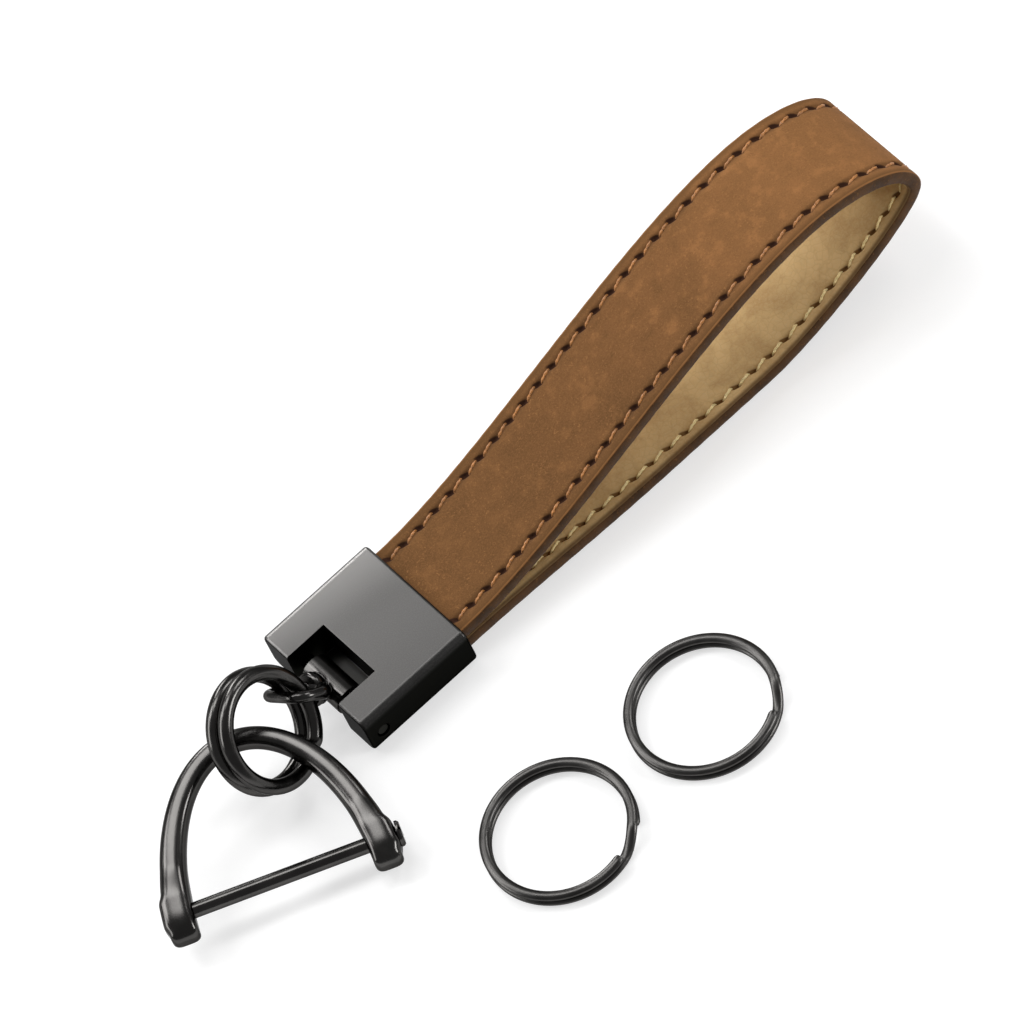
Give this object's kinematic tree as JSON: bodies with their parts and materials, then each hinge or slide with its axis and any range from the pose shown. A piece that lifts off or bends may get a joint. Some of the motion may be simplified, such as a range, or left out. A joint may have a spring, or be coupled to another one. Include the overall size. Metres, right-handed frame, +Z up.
{
  "type": "leather strap keychain",
  "caption": "Stitched leather strap loop in a satin gunmetal clamp, with a hinged swivel eye, a split ring and a D-shackle with a screw pin, beside loose split rings.",
  "frame": {"origin": "middle of the clamp's flat back, which lies on the ground", "axes": "+X along the strap from the clamp to the end of the loop, +Y to the side away from the loose rings, +Z up out of the clamp's front face"},
  "size_m": [0.1654, 0.0721, 0.0253],
  "materials": {
    "nubuck": "matt brown nubuck with a fine nap",
    "lining": "matt tan split leather with a fine crackled grain",
    "brown_thread": "waxed tan thread",
    "gold_thread": "waxed cream and gold thread",
    "satin_gunmetal": "satin gunmetal plate",
    "dark_gunmetal": "polished dark gunmetal plate"
  },
  "bodies": {
    "strap_and_clamp": {"clamp_body": "satin_gunmetal", "clamp_screw_left": "dark_gunmetal", "clamp_screw_right": "dark_gunmetal", "hinge_pin": "dark_gunmetal", "outer_leather": "nubuck", "lining_leather": "lining", "outer_stitch_left": "brown_thread", "outer_stitch_right": "brown_thread", "lining_stitch_left": "gold_thread", "lining_stitch_right": "gold_thread"},
    "knuckle": {"swivel_knuckle": "dark_gunmetal", "swivel_collar": "dark_gunmetal", "swivel_rivet": "dark_gunmetal"},
    "bail": {"swivel_bail": "dark_gunmetal"},
    "split_ring": {"main_split_ring": "dark_gunmetal"},
    "shackle": {"shackle_bow": "dark_gunmetal"},
    "shackle_screw_pin": {"shackle_pin": "dark_gunmetal"},
    "loose_ring_a": {"loose_ring_1": "dark_gunmetal"},
    "loose_ring_b": {"loose_ring_2": "dark_gunmetal"}
  },
  "joints": [
    {"name": "knuckle_hinge", "type": "hinge", "parent": "strap_and_clamp", "child": "knuckle", "pos_m": [-0.008, 0, 0.0032], "axis": [0, 1, 0], "range_deg": [-120, 42]},
    {"name": "bail_swivel", "type": "hinge", "parent": "knuckle", "child": "bail", "pos_m": [-0.008, 0, 0.0032], "axis": [-0.7705, 0, 0.6374], "continuous": true},
    {"name": "ring_swing", "type": "hinge", "parent": "bail", "child": "split_ring", "pos_m": [-0.01624, 0, 0.01002], "axis": [0.4182, -0.7547, 0.5055], "range_deg": [-80, 4]},
    {"name": "shackle_swing", "type": "hinge", "parent": "split_ring", "child": "shackle", "pos_m": [-0.02121, -0.00407, 0.00805], "axis": [0.4809, -0.8661, -0.1363], "range_deg": [-45, 15]},
    {"name": "shackle_pin_pull", "type": "slide", "parent": "shackle", "child": "shackle_screw_pin", "axis": [0.9137, -0.403, -0.0523], "range_m": [0, 0.006]},
    {"name": "loose_ring_1_lift", "type": "slide", "parent": "strap_and_clamp", "child": "loose_ring_a", "axis": [0, 0, 1], "range_m": [0, 0.05]},
    {"name": "loose_ring_2_lift", "type": "slide", "parent": "strap_and_clamp", "child": "loose_ring_b", "axis": [0, 0, 1], "range_m": [0, 0.05]}
  ]
}
